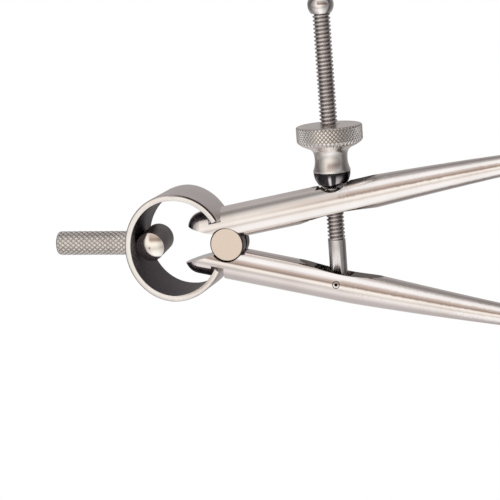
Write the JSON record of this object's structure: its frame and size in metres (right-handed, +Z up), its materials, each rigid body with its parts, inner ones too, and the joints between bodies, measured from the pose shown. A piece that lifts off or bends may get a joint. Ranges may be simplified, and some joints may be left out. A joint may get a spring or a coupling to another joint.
{
  "type": "drawing compass",
  "caption": "Spring divider that steps off and scribes circles: two round steel legs on a loose stud, a bow spring, a knurled handle and an adjusting screw with a knurled nut.",
  "frame": {"origin": "midway between the two leg points, on the surface that they stand on", "axes": "+Z up the tool to the handle; +X to the leg that carries the nut, square to the stud; +Y along the stud"},
  "size_m": [0.0954, 0.018, 0.1742],
  "materials": {
    "handle_steel": "fine diamond knurl, matt nickel plate",
    "pin_steel": "turned and polished steel",
    "spring_steel": "satin spring steel with polished edges",
    "stud_steel": "hardened steel, ground faces",
    "leg_steel": "polished steel",
    "screw_steel": "bright steel",
    "dark_washer": "dark gun-metal steel, half polished",
    "nut_plate": "bright plate, diamond knurl on the band"
  },
  "bodies": {
    "head": {"handle": "handle_steel", "handle_cross_pin": "pin_steel", "bow_spring": "spring_steel", "fulcrum_stud": "stud_steel"},
    "nut_leg": {"nut_side_leg": "leg_steel"},
    "pivot_leg": {"pivot_side_leg": "leg_steel", "screw_pivot_pin": "pin_steel"},
    "screw": {"adjusting_screw": "screw_steel", "stop_ball": "screw_steel"},
    "washer": {"seat_washer": "dark_washer"},
    "nut": {"adjusting_nut": "nut_plate"}
  },
  "joints": [
    {"name": "nut_leg_swing", "type": "hinge", "parent": "head", "child": "nut_leg", "pos_m": [0, 0, 0.12406], "axis": [0, -1, 0], "range_deg": [-12.2, 18.8], "deforming": ["bow_spring"]},
    {"name": "pivot_leg_swing", "type": "hinge", "parent": "head", "child": "pivot_leg", "pos_m": [0, 0, 0.12406], "axis": [0, 1, 0], "range_deg": [-12.2, 18.8], "deforming": ["bow_spring"]},
    {"name": "screw_swing", "type": "hinge", "parent": "pivot_leg", "child": "screw", "pos_m": [-0.01103, 0, 0.09357], "axis": [0, -1, 0], "range_deg": [-14.4, 22.18]},
    {"name": "washer_slide", "type": "slide", "parent": "screw", "child": "washer", "axis": [0.9998, 0, 0.0209], "range_m": [-0.01256, 0.01936]},
    {"name": "nut_spin", "type": "hinge", "parent": "washer", "child": "nut", "pos_m": [0.01926, 0, 0.09421], "axis": [0.9998, 0, 0.0209], "range_deg": [-4273, 6585]}
  ],
  "couplings": [
    {"joint": "washer_slide", "follows": "nut_spin", "m_per_rad": 0.00016843},
    {"joint": "nut_leg_swing", "follows": "nut_spin", "ratio": 0.0028548},
    {"joint": "pivot_leg_swing", "follows": "nut_spin", "ratio": 0.0028548},
    {"joint": "screw_swing", "follows": "nut_spin", "ratio": 0.0033687}
  ]
}
